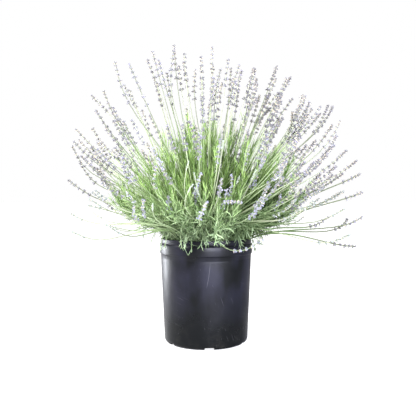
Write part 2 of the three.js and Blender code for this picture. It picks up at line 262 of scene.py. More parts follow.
def black_plastic(settings):
    """Blown black plastic: bluish blotches that vary its roughness and bump and paint a bluish sheen
    into its colour, faint flow streaks, fine scratches, scuffs at the foot.
    """
    f = Finish("black_plastic", IOR=1.45, Specular_IOR_Level=0.19)
    height = f.parts(f.place)[2]
    blotches = f.ramp(f.speckle(1, 3, f.stretched((0.055, 0.055, 0.10))), (0.38, 0), (0.66, 1))
    streaks = f.speckle(1, 3, f.stretched((0.012, 0.012, 0.16)))
    worn_places = f.ramp(f.speckle(22, 2), (0.50, 0), (0.66, 1))
    fine = f.speckle(1, 1, f.stretched((0.05, 0.05, 0.0011), (0.0, 0.45, 0.2)))
    steep = f.speckle(1, 1, f.stretched((0.0014, 0.0014, 0.045), (0.25, -0.3, 0)))
    hairlines = (f.ramp(fine, (0.70, 0), (0.76, 1)) + f.ramp(steep, (0.71, 0), (0.77, 1))) * worn_places
    long_scratch = scratch(f, 0.195, 0.137, 0.0095, -0.05, -1.6)
    short_scratch = scratch(f, 0.120, 0.094, 0.031, 0.35, 0)
    scratches = (hairlines * 0.25 + long_scratch * 0.6 + short_scratch * 0.4).clipped()
    low = height.past(0.06, -1 / 0.06)
    dust = f.ramp(f.speckle(60, 4), (0.48, 0), (0.78, 1)) * (low * 0.6 + 0.06)
    # Painted sheen: the blotches lighten the colour towards a bluish sheen, faded out towards the foot
    sheened_colour = f.blend(blotches * height.past(0.05, 12), settings.plastic, settings.plastic_sheen)
    worn = f.blend(scratches * 0.6, sheened_colour, (0.22, 0.22, 0.24))
    colour = f.blend(dust * 0.08, worn, (0.13, 0.125, 0.10))
    wear = blotches * 0.10 + streaks * 0.08 + scratches * 0.15 + dust * 0.2
    glossy_foot = height.past(0.10, -14) ** 2
    roughness = wear + settings.roughness + height.past(0.14, 20) * 0.05 - glossy_foot * 0.17
    bumps = f.speckle(700, 2) * 0.02 + streaks * 0.2 + blotches * 1.2 - scratches * 0.2
    return f.finish(colour, roughness, bumps, 0.0004)


def potting_soil(settings):
    """Dark peat with lighter fibres."""
    f = Finish("potting_soil")
    grains = f.speckle(380, 5)
    patches = f.speckle(45, 3)
    strands = f.speckle(1, 2, f.stretched((0.0011, 0.008, 0.003), (0, 0, 0.6)))
    fibres = f.ramp(strands, (0.62, 0), (0.72, 1))
    peat = f.blend(patches, settings.peat, (0.075, 0.048, 0.030))
    colour = f.blend(grains * 0.6 + fibres * 0.5, peat, (0.16, 0.11, 0.07))
    return f.finish(colour, grains * 0.15 + 0.80, grains + patches, 0.0012)


def bark_crumb():
    """Chips of bark and a few white grains of perlite, told apart by their tone."""
    f = Finish("bark_crumb")
    grains = f.speckle(900, 4)
    tone = f.attribute("tone")
    bark = f.blend(tone, (0.055, 0.034, 0.022), (0.17, 0.105, 0.060))
    white = f.ramp(tone, (0.90, 0), (0.92, 1))
    colour = f.blend(white, bark, (0.70, 0.69, 0.65))
    shaded = f.blend(grains * 0.5, colour, (0.03, 0.02, 0.015), "MULTIPLY")
    return f.finish(shaded, grains * 0.1 + 0.82, grains, 0.0006)


def leaf_green(settings):
    """Narrow felted leaves: greyer low down, with painted shade deep inside the plant, paler at the tip
    and midrib.
    """
    f = Finish("leaf_green", Specular_IOR_Level=0.3)
    tone = f.attribute("tone")
    along = f.attribute("run")
    height = f.parts(f.place)[2]
    mottle = f.speckle(260, 3)
    rib = (1 - f.attribute("edge")) ** 4
    fresh = f.blend(tone**1.6, settings.leaf_dark, settings.leaf_light)
    grey = f.blend(tone**1.6, settings.low_leaf_dark, settings.low_leaf_light)
    body = f.blend(height.past(LOW_LEAVES, -1 / 0.11) * 0.8, fresh, grey)
    tipped = f.blend(along**2 * tone * 0.45, body, settings.leaf_tip)
    ribbed = f.blend(rib * 0.3, tipped, (0.40, 0.50, 0.17))
    dappled = f.blend(mottle * 0.35, ribbed, (0.55, 0.62, 0.34), "MULTIPLY")
    # Painted shade: leaves deep inside the plant are darkened, least where they hang over the rim
    colour = f.blend(f.painted_inner_shade(), dappled, (0.22, 0.26, 0.16), "MULTIPLY")
    fuzz = f.speckle(2600, 2)
    return f.finish(colour, mottle * 0.12 + 0.56, fuzz * 0.4 + rib * 0.6, 0.0002)


def stem_green(settings):
    """Square green stems, brown and woody near the crown, duller where they stand free, with painted
    shade deep inside the plant.
    """
    f = Finish("stem_green")
    tone = f.attribute("tone")
    grooves = f.speckle(1, 2, f.stretched((0.0014, 0.0014, 0.016)))
    x, y, height = f.parts(f.place)
    out = x * x + y * y
    bare = (out.past(0.036, 36) + height.past(0.43, 10)).clipped()
    woody = height.past(OVER_RIM, -25) * (1.6 - out * 200).clipped()
    green = f.blend(tone, settings.stalk_dark, settings.stalk_light)
    dull = f.blend(tone, (0.105, 0.12, 0.07), (0.33, 0.35, 0.25))
    bark = f.blend(grooves, (0.16, 0.11, 0.07), (0.34, 0.27, 0.19))
    colour = f.blend(woody, f.blend(bare * 0.9, green, dull), bark)
    # Painted shade: stems deep inside the plant are darkened
    deep = f.blend(f.painted_inner_shade() * 0.8, colour, (0.30, 0.36, 0.22), "MULTIPLY")
    shaded = f.blend(grooves * 0.3, deep, (0.6, 0.6, 0.5), "MULTIPLY")
    return f.finish(shaded, grooves * 0.15 + 0.50, grooves, 0.0003)


def felted(name, sheened_colour, blue, young, depth):
    """A flower finish: blue, or greyish where its tint is low, the darker grey being painted shade;
    darker where its tone is low; paler and greener where it is young.
    """
    f = Finish(name, Sheen_Weight=0.10, Sheen_Roughness=0.6)
    ribs = f.speckle(1, 2, f.stretched((0.0007, 0.0007, 0.002)))
    tinted = f.blend(f.attribute("tint"), sheened_colour, blue)
    aged = f.blend(f.attribute("youth"), tinted, young)
    # Low tone darkens the colour; for calyces it includes painted shade on the plant's right
    toned = f.blend((1 - f.attribute("tone")) * 0.6, aged, (0.50, 0.48, 0.52), "MULTIPLY")
    colour = f.blend((1 - f.attribute("run")) * 0.30, toned, (0.40, 0.44, 0.34))
    return f.finish(colour, ribs * 0.2 + 0.62, ribs, depth)


def dry_bract():
    """Small papery bracts under the whorls."""
    f = Finish("dry_bract")
    veins = f.speckle(1, 3, f.stretched((0.0006, 0.0006, 0.0033)))
    colour = f.blend(veins, (0.30, 0.24, 0.17), (0.50, 0.44, 0.36))
    return f.finish(colour, veins * 0.1 + 0.70, veins, 0.0002)


# ---------- modelling ----------


def deselect_all():
    """Deselects everything, so that the next primitive is alone."""
    if bpy.context.object and bpy.context.object.mode != "OBJECT":
        bpy.ops.object.mode_set(mode="OBJECT")
    bpy.ops.object.select_all(action="DESELECT")


def raise_shell(name, profile, sides):
    """A closed shell pulled up from a filled circle, ring by ring. The profile lists each ring's
    (radius, height); it may turn inwards and run down again inside. Left in edit mode."""
    deselect_all()
    (radius, height), *rings = profile
    bpy.ops.mesh.primitive_circle_add(
        vertices=sides, radius=radius, fill_type="NGON", location=(0, 0, height), enter_editmode=True
    )
    for next_radius, next_height in rings:
        rise = (0, 0, next_height - height)
        bpy.ops.mesh.extrude_region_move(TRANSFORM_OT_translate={"value": rise})
        growth = next_radius / radius
        bpy.ops.transform.resize(value=(growth, growth, 1), center_override=(0, 0, next_height))
        radius, height = next_radius, next_height
    bpy.ops.mesh.select_all(action="SELECT")
    bpy.ops.mesh.normals_make_consistent(inside=False)
    bpy.context.object.name = name
    return bpy.context.object


def leave_edit(piece):
    """Ends edit mode and moves the object's place into its mesh."""
    bpy.ops.object.mode_set(mode="OBJECT")
    bpy.ops.object.transform_apply(location=True, rotation=True, scale=True)
    return piece


def mesh_places(mesh):
    places = np.empty(len(mesh.vertices) * 3)
    mesh.vertices.foreach_get("co", places)
    return places.reshape(-1, 3)


def set_places(mesh, places):
    mesh.vertices.foreach_set("co", places.ravel())
    mesh.update()


def hand_over(piece, material_slot, *nodes):
    """Ties a piece to the frame: it stands for CAD nodes, which it hides. The material slot is not used.
    """
    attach(piece, "root")
    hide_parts(*nodes)


class Template:
    """A small shape that is modelled once and then copied many times."""

    def __init__(self, piece, material):
        mesh = leave_edit(piece).data
        self.points = mesh_places(mesh)
        self.starts = np.array([face.loop_start for face in mesh.polygons])
        self.corners = np.array([loop.vertex_index for loop in mesh.loops])
        self.material = material
        x, height = np.abs(self.points[:, 0]), self.points[:, 2]
        self.run = (height - height.min()) / np.ptp(height)
        self.edge = x / x.max()
        bpy.data.objects.remove(piece)

    def axes(self):
        """The X, Y and Z of its points, to be spread over many copies."""
        return (self.points[None, :, i, None] for i in range(3))


class Growth:
    """Gathers copies of templates and makes them one piece."""

    def __init__(self):
        self.points = []
        self.corners = []
        self.starts = []
        self.finishes = []
        self.materials = []
        self.marks = {"tone": [], "run": [], "edge": [], "tint": [], "youth": []}
        self.count = 0
        self.corner_count = 0

    def add(self, template, places, tone, tint=0.0, youth=0.0):
        """Adds one copy for each row of places, an array (copies, points, 3)."""
        copies, size = places.shape[:2]
        shift = self.count + size * np.arange(copies)[:, None]
        turn = self.corner_count + len(template.corners) * np.arange(copies)[:, None]
        self.points.append(places.reshape(-1, 3))
        self.corners.append((template.corners + shift).ravel())
        self.starts.append((template.starts + turn).ravel())
        if template.material not in self.materials:
            self.materials.append(template.material)
        index = self.materials.index(template.material)
        self.finishes.append(np.full(copies * len(template.starts), index))
        each = np.ones((copies, 1))
        spread = {"run": each * template.run, "edge": each * template.edge}
        for mark, value in (("tone", tone), ("tint", tint), ("youth", youth)):
            spread[mark] = np.ones((copies, size)) * np.reshape(value, (-1, 1))
        for mark, values in spread.items():
            self.marks[mark].append(values.ravel())
        self.count += copies * size
        self.corner_count += copies * len(template.corners)

    def piece(self, name):
        mesh = bpy.data.meshes.new(name)
        points = np.concatenate(self.points)
        corners = np.concatenate(self.corners)
        starts = np.concatenate(self.starts)
        mesh.vertices.add(len(points))
        mesh.vertices.foreach_set("co", points.ravel())
        mesh.loops.add(len(corners))
        mesh.loops.foreach_set("vertex_index", corners)
        mesh.polygons.add(len(starts))
        mesh.polygons.foreach_set("loop_start", starts)
        for material in self.materials:
            mesh.materials.append(material)
        mesh.polygons.foreach_set("material_index", np.concatenate(self.finishes))
        for mark, values in self.marks.items():
            layer = mesh.attributes.new(mark, "FLOAT", "POINT")
            layer.data.foreach_set("value", np.concatenate(values))
        mesh.update(calc_edges=True)
        made = bpy.data.objects.new(name, mesh)
        bpy.context.scene.collection.objects.link(made)
        smooth_by_angle(made, 50)
        return made


def smooth_by_angle(piece, angle):
    deselect_all()
    piece.select_set(True)
    bpy.context.view_layer.objects.active = piece
    bpy.ops.object.shade_smooth_by_angle(angle=radians(angle))


# ---------- how the plant grows ----------


def chance(i, j, k):
    """A number from 0 to 1 that is the same every time for the same three numbers."""
    x = sin(i * 12.9898 + j * 78.233 + k * 37.719) * 43758.5453
    return x - np.floor(x)


def smooth(x):
    t = np.clip(x, 0, 1)
    return t * t * (3 - 2 * t)


def unit(vectors):
    return vectors / np.linalg.norm(vectors, axis=-1, keepdims=True)


def heading(turn):
    return np.array((cos(turn), sin(turn)))


def turned(first, second, angles):
    """Directions turned by angles from a first one towards a second."""
    return first * np.cos(angles)[..., None] + second * np.sin(angles)[..., None]


def crown_spot(branch):
    """A branch's place on the crown, which is one wide from its middle to its edge."""
    return ((branch + 0.5) / BRANCHES) ** 0.5 * heading(branch * GOLDEN_TURN + CROWN_TURN)


class Path:
    """A way that a stem, a stalk or a twig follows. A kind of path gives its places in at()."""

    in_bud = None  # whether its spike is in bud, where that is not left to chance
    girth = 1.0
    tone = None  # how pale its stalk is, where that is not left to chance

    def frames(self, distances):
        """Places, and the three directions there: along the path, and two across it."""
        along = unit(self.at(distances + 0.002) - self.at(distances - 0.002))
        sideways = self.sideways - along * (along @ self.sideways)[:, None]
        across = unit(sideways)
        return self.at(distances), along, across, np.cross(along, across)

    def frame(self, distance):
        return (row[0] for row in self.frames(np.array([distance])))


class Stem(Path):
    """A main stem, which grows from the soil, or a side stem, which leaves it at a fork."""

    def __init__(self, branch, fork, way, spread, length, lift=TIP_LIFT):
        self.branch = branch
        self.tip_lift = lift
        self.spot = crown_spot(branch)
        self.fork = fork
        self.spread = spread * heading(way)
        self.length = length
        self.sideways = np.array((-self.spot[1], self.spot[0], 0.0))
        self.meander = np.zeros(2)

    def at(self, distances):
        distances = np.asarray(distances, float)
        share = np.maximum(0, 1 - self.fork / np.maximum(distances, 0.001))[:, None]
        swing = np.sin(2 * pi * distances / self.length)[:, None]
        spots = self.spot + (self.spread + self.meander * swing) * share
        q = np.minimum(np.hypot(*spots.T), 1.2)
        lean = np.arccos(1 - DOME * q * q)
        give = self.tip_lift * lean / (pi / 2)
        steps = distances[:, None] * (np.arange(BEND_STEPS) + 0.5) / BEND_STEPS
        bend = LEAN_AT_SOIL + (1 - LEAN_AT_SOIL) * smooth(steps / BEND_LENGTH)
        lift = 1 - give[:, None] * smooth(1 - (self.length - steps) / LIFT_LENGTH)
        tilt = lean[:, None] * bend * lift
        out = CROWN_RADIUS * q + np.sin(tilt).mean(1) * distances
        up = SOIL_TOP + np.cos(tilt).mean(1) * distances
        turn = np.arctan2(spots[:, 1], spots[:, 0])
        return np.stack((out * np.cos(turn), out * np.sin(turn), up), 1)


class Arc(Path):
    """A smooth path by four points, as a Bezier curve."""

    def __init__(self, *points):
        self.points = np.array(points, float)
        self.length = np.linalg.norm(np.diff(self.at_share(np.linspace(0, 1, 24)), axis=0), axis=1).sum()
        run = self.points[3] - self.points[0]
        self.sideways = np.cross(run, UP) if abs(unit(run)[2]) < 0.98 else SIDEWAYS

    def at_share(self, t):
        t = t[:, None]
        weights = ((1 - t) ** 3, 3 * t * (1 - t) ** 2, 3 * t * t * (1 - t), t**3)
        return sum(weight * point for weight, point in zip(weights, self.points))

    def at(self, distances):
        return self.at_share(np.asarray(distances, float) / self.length)


def veering_arc(turn, veer, rows):
    """An arc by four rows of how far out, how high, and the share of the veer from its turn."""
    return Arc(*((*out * heading(turn + veer * share), height) for out, height, share in rows))


def spray_stems(branch, turn):
    """A flower spray: a main stalk and four side stalks that leave it at two forks."""
    reach = STALK_REACH - STALK_REACH_LOST * np.hypot(*crown_spot(branch))
    lengths = [reach * (0.68 + 0.32 * chance(branch, j, 1) ** 0.6) for j in range(5)]
    first = 0.046 + 0.030 * chance(branch, 0, 7)
    main = Stem(branch, first, 0, 0, lengths[0])
    sides = [
        Stem(branch, first + 0.024 * (j % 2), turn + pi * j / 2, STALK_SPREAD, lengths[j + 1])
        for j in range(4)
    ]
    return [main, *sides]


def bush_stems(branch, turn):
    """A leafy branch: a main shoot and three side shoots that leave it at one fork."""
    reach = SHOOT_REACH - SHOOT_REACH_LOST * np.hypot(*crown_spot(branch))
    lengths = [reach * (0.86 + 0.14 * chance(branch, j, 3)) for j in range(4)]
    fork = 0.016 + 0.014 * chance(branch, 0, 7)
    main = Stem(branch, fork, 0, 0, lengths[0])
    sides = [Stem(branch, fork, turn + 2 * pi * j / 3, SHOOT_SPREAD, lengths[j + 1]) for j in range(3)]
    return [main, *sides]


def is_leafy(branch):
    return branch % (3 if branch < INNER_BRANCHES else 2) == 1


def settle():
    """Turns each branch's forks to where its side stems have the most room, as the CAD does."""
    grow = [bush_stems if is_leafy(branch) else spray_stems for branch in range(BRANCHES)]
    settled = [(branch, grow[branch](branch, 0)[0].at(ROOM_MARKS)) for branch in range(BRANCHES)]
    plant = []
    for branch in range(BRANCHES):
        others = np.array([marks for other, marks in settled if other != branch])
        best = None
        for i in range(TURN_TRIES):
            stems = grow[branch](branch, pi * i / TURN_TRIES)
            marks = [stem.at(ROOM_MARKS) for stem in stems[1:]]
            room = min(np.linalg.norm(others - mine, axis=2).min() for mine in marks)
            if best is None or room > best[0]:
                best = (room, stems, marks)
        settled += [(branch, mine) for mine in best[2]]
        plant.append(best[1])
    return plant


# ---------- shapes of the plant ----------


def stalk_template(material):
    """A square stem with twelve joints."""
    rings = [(1.0, i / 12) for i in range(13)]
    return Template(raise_shell("stalk", rings, 4), material)


def leaf_template(material):
    """A narrow blade with a keel along its back, one long and one half wide."""
    rings = [(0.46, 0.0), (1.15, 0.36), (0.97, 0.74), (0.14, 1.0)]
    blade = raise_shell("leaf", rings, 3)
    bpy.ops.transform.resize(value=(1, 0.22, 1), center_override=(0, 0, 0))
    return Template(blade, material)


def calyx_template(material):
    """A ribbed tube with an open mouth, one long."""
    rings = [(0.34, 0.0), (1.0, 0.45), (0.80, 1.0), (0.36, 0.86)]
    return Template(raise_shell("calyx", rings, 5), material)


def corolla_template(material):
    """An open flower with five lobes, one long and one in radius."""
    rings = [(0.26, 0.0), (0.34, 0.55), (1.0, 0.80), (0.95, 0.92), (0.30, 0.62)]
    flower = raise_shell("corolla", rings, 10)
    form = bmesh.from_edit_mesh(flower.data)
    for point in form.verts:
        turn = np.arctan2(point.co.y, point.co.x) / (2 * pi) * 10
        point.select = point.co.z > 0.7 and round(turn) % 2 == 0
    form.select_flush_mode()
    bmesh.update_edit_mesh(flower.data)
    bpy.ops.transform.resize(value=(0.62, 0.62, 1), center_override=(0, 0, 0.8))
    return Template(flower, material)


def crumb_template(material):
    """An angular crumb."""
    deselect_all()
    bpy.ops.mesh.primitive_ico_sphere_add(subdivisions=1, radius=1, enter_editmode=True)
    crumb = bpy.context.object
    crumb.name = "crumb"
    bpy.ops.transform.vertex_random(offset=0.35, seed=3)
    bpy.ops.transform.resize(value=(1, 0.7, 0.55), center_override=(0, 0, 0))
    return Template(crumb, material)


def along_path(template, path, start, end, radii):
    """A template stretched along a path; radii are those at its start and end."""
    share = template.points[:, 2]
    places, _, across, third = path.frames(start + (end - start) * share)
    radius = (radii[0] + (radii[1] - radii[0]) * share)[:, None]
    x, y = template.points[:, :1], template.points[:, 1:2]
    return (places + radius * (x * across + y * third))[None]


def planted(template, roots, ways, widths, lengths, turns):
    """Copies of a template that stand at roots and point along ways."""
    first = unit(np.cross(np.where(np.abs(ways[:, 2:]) < 0.9, UP, SIDEWAYS), ways))
    x_way = turned(first, np.cross(ways, first), turns)
    y_way = np.cross(ways, x_way)
    x, y, z = template.axes()
    widths, lengths = widths[:, None, None], lengths[:, None, None]
    sideways = widths * (x * x_way[:, None] + y * y_way[:, None])
    return roots[:, None] + sideways + lengths * z * ways[:, None]


class Leaves:
    """A list of leaves, laid in place together. Each starts at a root, leans off its shoot by an
    angle towards a side, ends at another angle, and is bent sideways by its sway and down by its
    droop."""

    def __init__(self):
        self.rows = []

    def add(self, roots, along, sides, leans, ends, sways, lengths, widths, droops):
        start = turned(along, sides, leans)
        broad = unit(np.cross(along, sides))
        end = unit(turned(along, sides, ends) + broad * sways[:, None] - UP * droops[:, None])
        self.rows.append(np.hstack((roots, start, end, broad, lengths[:, None], widths[:, None])))

    def places(self, template, rng):
        rows = np.concatenate(self.rows)
        rows = rows[rng.uniform(0, 1, len(rows)) < leafiness(rows[:, 0], rows[:, 2])]
        roots, start, end, broad, lengths, widths = np.split(rows[:, None], (3, 6, 9, 12, 13), axis=2)
        x, y, t = template.axes()
        middle = roots + lengths * (start * t + (end - start) * t * t / 2)
        along = unit(start + (end - start) * t)
        flat = unit(broad - along * (along * broad).sum(2, keepdims=True))
        made = middle + widths * (x * flat + y * np.cross(along, flat))
        return made[is_clear(made)]


def leafiness(x, z):
    """Share of the leaves that a shoot carries: fewer on the thin side, fewest where it is tall."""
    thin_side = smooth((-0.01 - x) / 0.10)
    tall = smooth((z - (0.400 + 0.35 * x)) / 0.045)
    return 1 - 0.48 * thin_side - 0.36 * thin_side * tall


def is_clear(places):
    """Which leaves keep clear of the pot's wall and the soil."""
    out = np.hypot(places[..., 0], places[..., 1])
    height = places[..., 2]
    in_wall = (height < POT_HEIGHT + 0.002) & (out > LIP_RADIUS - 0.006) & (out < RIM_RADIUS + 0.0015)
    in_soil = (height < SOIL_TOP + 0.003) & (out < RIM_RADIUS)
    return ~(in_wall | in_soil).any(axis=1)


# ---------- settings ----------


def length_property(name, description, default):
    return FloatProperty(name=name, description=description, default=default, unit="LENGTH")


def count_property(name, description, default):
    return IntProperty(name=name, description=description, default=default, min=0)


def colour_property(name, description, default):
    return FloatVectorProperty(
        name=name, description=description, default=default, size=3, min=0, max=1, subtype="COLOR"
    )


class PotSettings(bpy.types.PropertyGroup):
    dent: length_property("Dent depth", "How far the wall is pushed in", 0.0007)
    roughness: FloatProperty(
        name="Roughness", description="Least roughness of the plastic", default=0.25, min=0, max=1
    )
    plastic: colour_property("Plastic", "Colour of the pot", (0.0016, 0.0020, 0.0024))
    # Painted sheen: the bluish colour that the blotches paint into the plastic
    plastic_sheen: colour_property("Painted plastic sheen", "Colour of paler patches", (0.0088, 0.0090, 0.0155))
    peat: colour_property("Peat", "Colour of the soil", (0.030, 0.020, 0.013))
    crumbs: count_property("Crumbs", "Number of crumbs on the soil", 420)


class PlantSettings(bpy.types.PropertyGroup):
    stalk_radius: length_property("Stalk radius", "Half width of a flower stalk", 0.0012)
    leaf_length: length_property("Leaf length", "Length of a full leaf", 0.052)
    more_stalks: count_property("More stalks", "Finer stalks in each spray besides the main ones", 1)
    low_stalks: count_property("Low stalks", "Stalks that rise in front of the leaves", 34)
    leaf_gap: length_property("Leaf gap", "Distance from pair to pair", 0.0066)
    rim_shoots: count_property("Rim shoots", "Short shoots that hang over the rim", 110)
    calyx_length: length_property("Calyx length", "Length of a flower's tube", 0.0050)
    leaf_dark: colour_property("Dark leaf", "Darkest leaves", (0.055, 0.13, 0.012))
    leaf_light: colour_property("Light leaf", "Lightest leaves", (0.290, 0.43, 0.125))
    low_leaf_dark: colour_property("Dark low leaf", "Darkest leaves near the pot", (0.065, 0.12, 0.05))
    low_leaf_light: colour_property("Light low leaf", "Lightest leaves near the pot", (0.45, 0.56, 0.41))
    leaf_tip: colour_property("Leaf tip", "Colour towards the tips", (0.41, 0.53, 0.25))
    stalk_dark: colour_property("Dark stalk", "Darkest stalks", (0.14, 0.21, 0.075))
    stalk_light: colour_property("Light stalk", "Lightest stalks", (0.36, 0.44, 0.24))
    # The grey calyx and flower colours are darker than the blue ones, as painted shade on spikes high up
    # and outside
    calyx_shaded_grey: colour_property("Grey calyx", "Calyces high up and outside", (0.120, 0.112, 0.128))
    calyx_blue: colour_property("Blue calyx", "Calyces low in front and behind", (0.265, 0.275, 0.35))
    flower_shaded_grey: colour_property("Grey flower", "Flowers high up and outside", (0.20, 0.185, 0.22))
    flower_blue: colour_property("Blue flower", "Flowers low in front and behind", (0.32, 0.33, 0.45))


class StageSettings(bpy.types.PropertyGroup):
    distance: length_property("Camera distance", "From the pot's axis", 1.30)
    height: length_property("Camera height", "Above the floor", 0.335)
    lens: FloatProperty(
        name="Lens", description="Focal length in millimetres on a 36 mm sensor", default=48.2
    )
    sky: FloatProperty(
        name="Sky", description="Strength of the even light all round", default=1.0, min=0
    )
    floor: colour_property("Floor", "Colour of the floor", (0.36, 0.36, 0.37))


# ---------- the pot and its soil ----------


def wall_radius(z):
    return FOOT_RADIUS + (SHOULDER_RADIUS - FOOT_RADIUS) * z / (BAND_BOTTOM - 0.002)


# Rings of the rim's band and of the lip: how far out from their radius, and how high
BAND_RINGS = (
    (-0.0018, 0.2056),
    (-0.0010, 0.2064),
    (-0.0008, 0.2078),
    (-0.0004, 0.2170),
    (0, 0.2258),
    (-0.0006, 0.2272),
    (-0.0018, 0.2280),
)
LIP_RINGS = (
    (-0.0004, 0.2284),
    (-0.0008, 0.2294),
    (-0.0004, 0.2304),
    (-0.0003, 0.2320),
    (0, 0.2380),
    (-0.0003, 0.2394),
    (-0.0010, POT_HEIGHT),
    (-0.0019, 0.2396),
    (-0.0024, 0.2382),
)
# Dents in the wall: at what turn and height, and how wide
DENTS = ((-1.9, 0.06, 0.030), (-1.15, 0.10, 0.035), (-0.4, 0.05, 0.030), (1.2, 0.08, 0.040))


def pot_profile():
    """The rings of the pot, up the outside, over the lip and down the inside."""
    foot = wall_radius(FOOT_CORNER)
    turns = np.linspace(0, pi / 2, 7)
    under = [(0.03, RAISED), (foot - FOOT_CORNER - 0.003, RAISED), (foot - FOOT_CORNER - 0.0015, 0.001)]
    corner = [(foot - FOOT_CORNER * (1 - sin(turn)), FOOT_CORNER * (1 - cos(turn))) for turn in turns]
    wall = [(wall_radius(z), z) for z in np.linspace(0.022, 0.191, 15)]
    crease = [(wall_radius(0.194), 0.194), (wall_radius(0.195) - 0.00018, 0.1955)]
    shoulder = [(wall_radius(0.197), 0.1965), (SHOULDER_RADIUS, 0.2030)]
    shoulder += [(SHOULDER_RADIUS + 0.0006, 0.2046)]
    band = [(RIM_RADIUS + out, height) for out, height in BAND_RINGS]
    lip = [(LIP_RADIUS + out, height) for out, height in LIP_RINGS]
    inside = [(SHOULDER_RADIUS - WALL, 0.202)]
    inside += [(wall_radius(z) - WALL, z) for z in np.linspace(0.18, 0.03, 7)]
    inside += [(foot - WALL, FOOT_CORNER + FLOOR), (foot - WALL - 0.004, FLOOR + RAISED)]
    return under + corner + wall + crease + shoulder + band + lip + inside


def dent(mesh, depth):
    """Pushes shallow dents into the wall and makes it a little out of round."""
    places = mesh_places(mesh)
    x, y, z = places.T
    turn = np.arctan2(y, x)
    push = 0.25 * np.sin(2 * turn + 0.7) + 0.2 * np.sin(3 * turn + 20 * z)
    for way, height, size in DENTS:
        apart = np.angle(np.exp(1j * (turn - way))) * FOOT_RADIUS
        push -= np.exp(-(apart**2 + (z - height) ** 2) / size**2)
    held = smooth(z / 0.03) * smooth((0.19 - z) / 0.04)
    out = 1 + push * held * depth / FOOT_RADIUS
    set_places(mesh, places * np.stack((out, out, np.ones_like(out)), 1))


def drain_cutter():
    """Rounded blocks, one for each drain hole round the foot."""
    deselect_all()
    bpy.ops.mesh.primitive_cube_add(size=1, enter_editmode=True)
    block = bpy.context.object
    bpy.ops.transform.resize(value=(0.024, DRAIN_WIDTH, DRAIN_HEIGHT * 2), center_override=(0, 0, 0))
    bpy.ops.mesh.bevel(offset=0.0022, segments=3)
    bpy.ops.transform.translate(value=(FOOT_RADIUS - 0.002, 0, 0))
    shape = Template(block, None)
    turns = DRAIN_TURN + 2 * pi * np.arange(DRAIN_HOLES) / DRAIN_HOLES
    blocks = [shape.points @ np.array(Matrix.Rotation(-turn, 3, "Z")) for turn in turns]
    growth = Growth()
    growth.add(shape, np.array(blocks), 0.5)
    return growth.piece("drain_cutter")


def make_pot(settings):
    pot = leave_edit(raise_shell("nursery_pot", pot_profile(), 160))
    dent(pot.data, settings.dent)
    cutter = drain_cutter()
    deselect_all()
    bpy.context.view_layer.objects.active = pot
    pot.select_set(True)
    cut = pot.modifiers.new("drain_holes", "BOOLEAN")
    cut.object = cutter
    cut.operation = "DIFFERENCE"
    bpy.ops.object.modifier_apply(modifier=cut.name)
    bpy.data.objects.remove(cutter)
    smooth_by_angle(pot, 35)
    pot.data.materials.clear()
    pot.data.materials.append(black_plastic(settings))
    hand_over(pot, "pot", "pot")


def soil_lift(x, y):
    """Height of the uneven top above its level."""
    coarse = noise.noise(Vector((x * 38, y * 38, 0.3)))
    fine = noise.noise(Vector((x * 150, y * 150, 4.1)))
    return 0.0028 * coarse + 0.0012 * fine


def make_soil(settings):
    bottom = RAISED + FLOOR + 0.00035
    room = WALL + 0.0012
    foot = wall_radius(FOOT_CORNER)
    rings = [(foot - room - 0.006, bottom), (foot - room, FOOT_CORNER + FLOOR + 0.001)]
    rings += [(wall_radius(z) - room, z) for z in (0.08, 0.14, 0.2)]
    rings += [(radius, SOIL_TOP) for radius in np.linspace(0.1, 0.003, 26)]
    soil = leave_edit(raise_shell("soil", rings, 80))
    places = mesh_places(soil.data)
    top = places[:, 2] > SOIL_TOP - 0.001
    places[top, 2] += [soil_lift(x, y) for x, y in places[top, :2]]
    set_places(soil.data, places)
    shape = Template(soil, potting_soil(settings))
    growth = Growth()
    growth.add(shape, shape.points[None], 0.5)
    crumb = crumb_template(bark_crumb())
    rng = np.random.default_rng(11)
    radius = 0.099 * rng.uniform(0, 1, settings.crumbs) ** 0.5
    turn = rng.uniform(0, 2 * pi, settings.crumbs)
    x, y = radius * np.cos(turn), radius * np.sin(turn)
    z = SOIL_TOP + np.array([soil_lift(*spot) for spot in zip(x, y)])
    size = rng.uniform(0.0012, 0.0036, settings.crumbs)
    ways = unit(rng.normal(0, 0.5, (settings.crumbs, 3)) + UP)
    roots = np.stack((x, y, z + size * 0.2), 1)
    growth.add(crumb, planted(crumb, roots, ways, size, size, turn), rng.uniform(0, 1, settings.crumbs))
    hand_over(growth.piece("soil_with_bark"), "soil", "potting_soil")


# ---------- branches ----------

# Heights of the whorls from the neck of a spike, those that a tall one adds below, those of a full
# spike and of one in bud
WHORLS = (0.0025, 0.0155, 0.0275, 0.0385, 0.0475, 0.0545)
LOWER_WHORLS = (-0.034, -0.016)
FULL_WHORLS = (-0.014, 0.0015, 0.0150, 0.0260, 0.0345, 0.0410, 0.0465, 0.0515, 0.0555)
BUD_WHORLS = (0.0385, 0.0430, 0.0475, 0.0515, 0.0550)
TALL_SPIKE = 0.5  # a spike whose tip is higher than this is tall
TRUNK_RADIUS = 0.0021
TRUNK_TONE = 0.3


def spike_tint(x, height, rng):
    """How blue a spike is: low ones well in front and behind are blue, the rest greyish and darker, the
    darker grey being painted shade on spikes high up and outside.
    """
    inside = 1 - smooth((abs(x) - 0.12) / 0.09)
    low = 1 - smooth((height - 0.40) / 0.12)
    return float(max(inside * low * rng.uniform(0.35, 1.0), rng.uniform(-0.2, 0.3)))


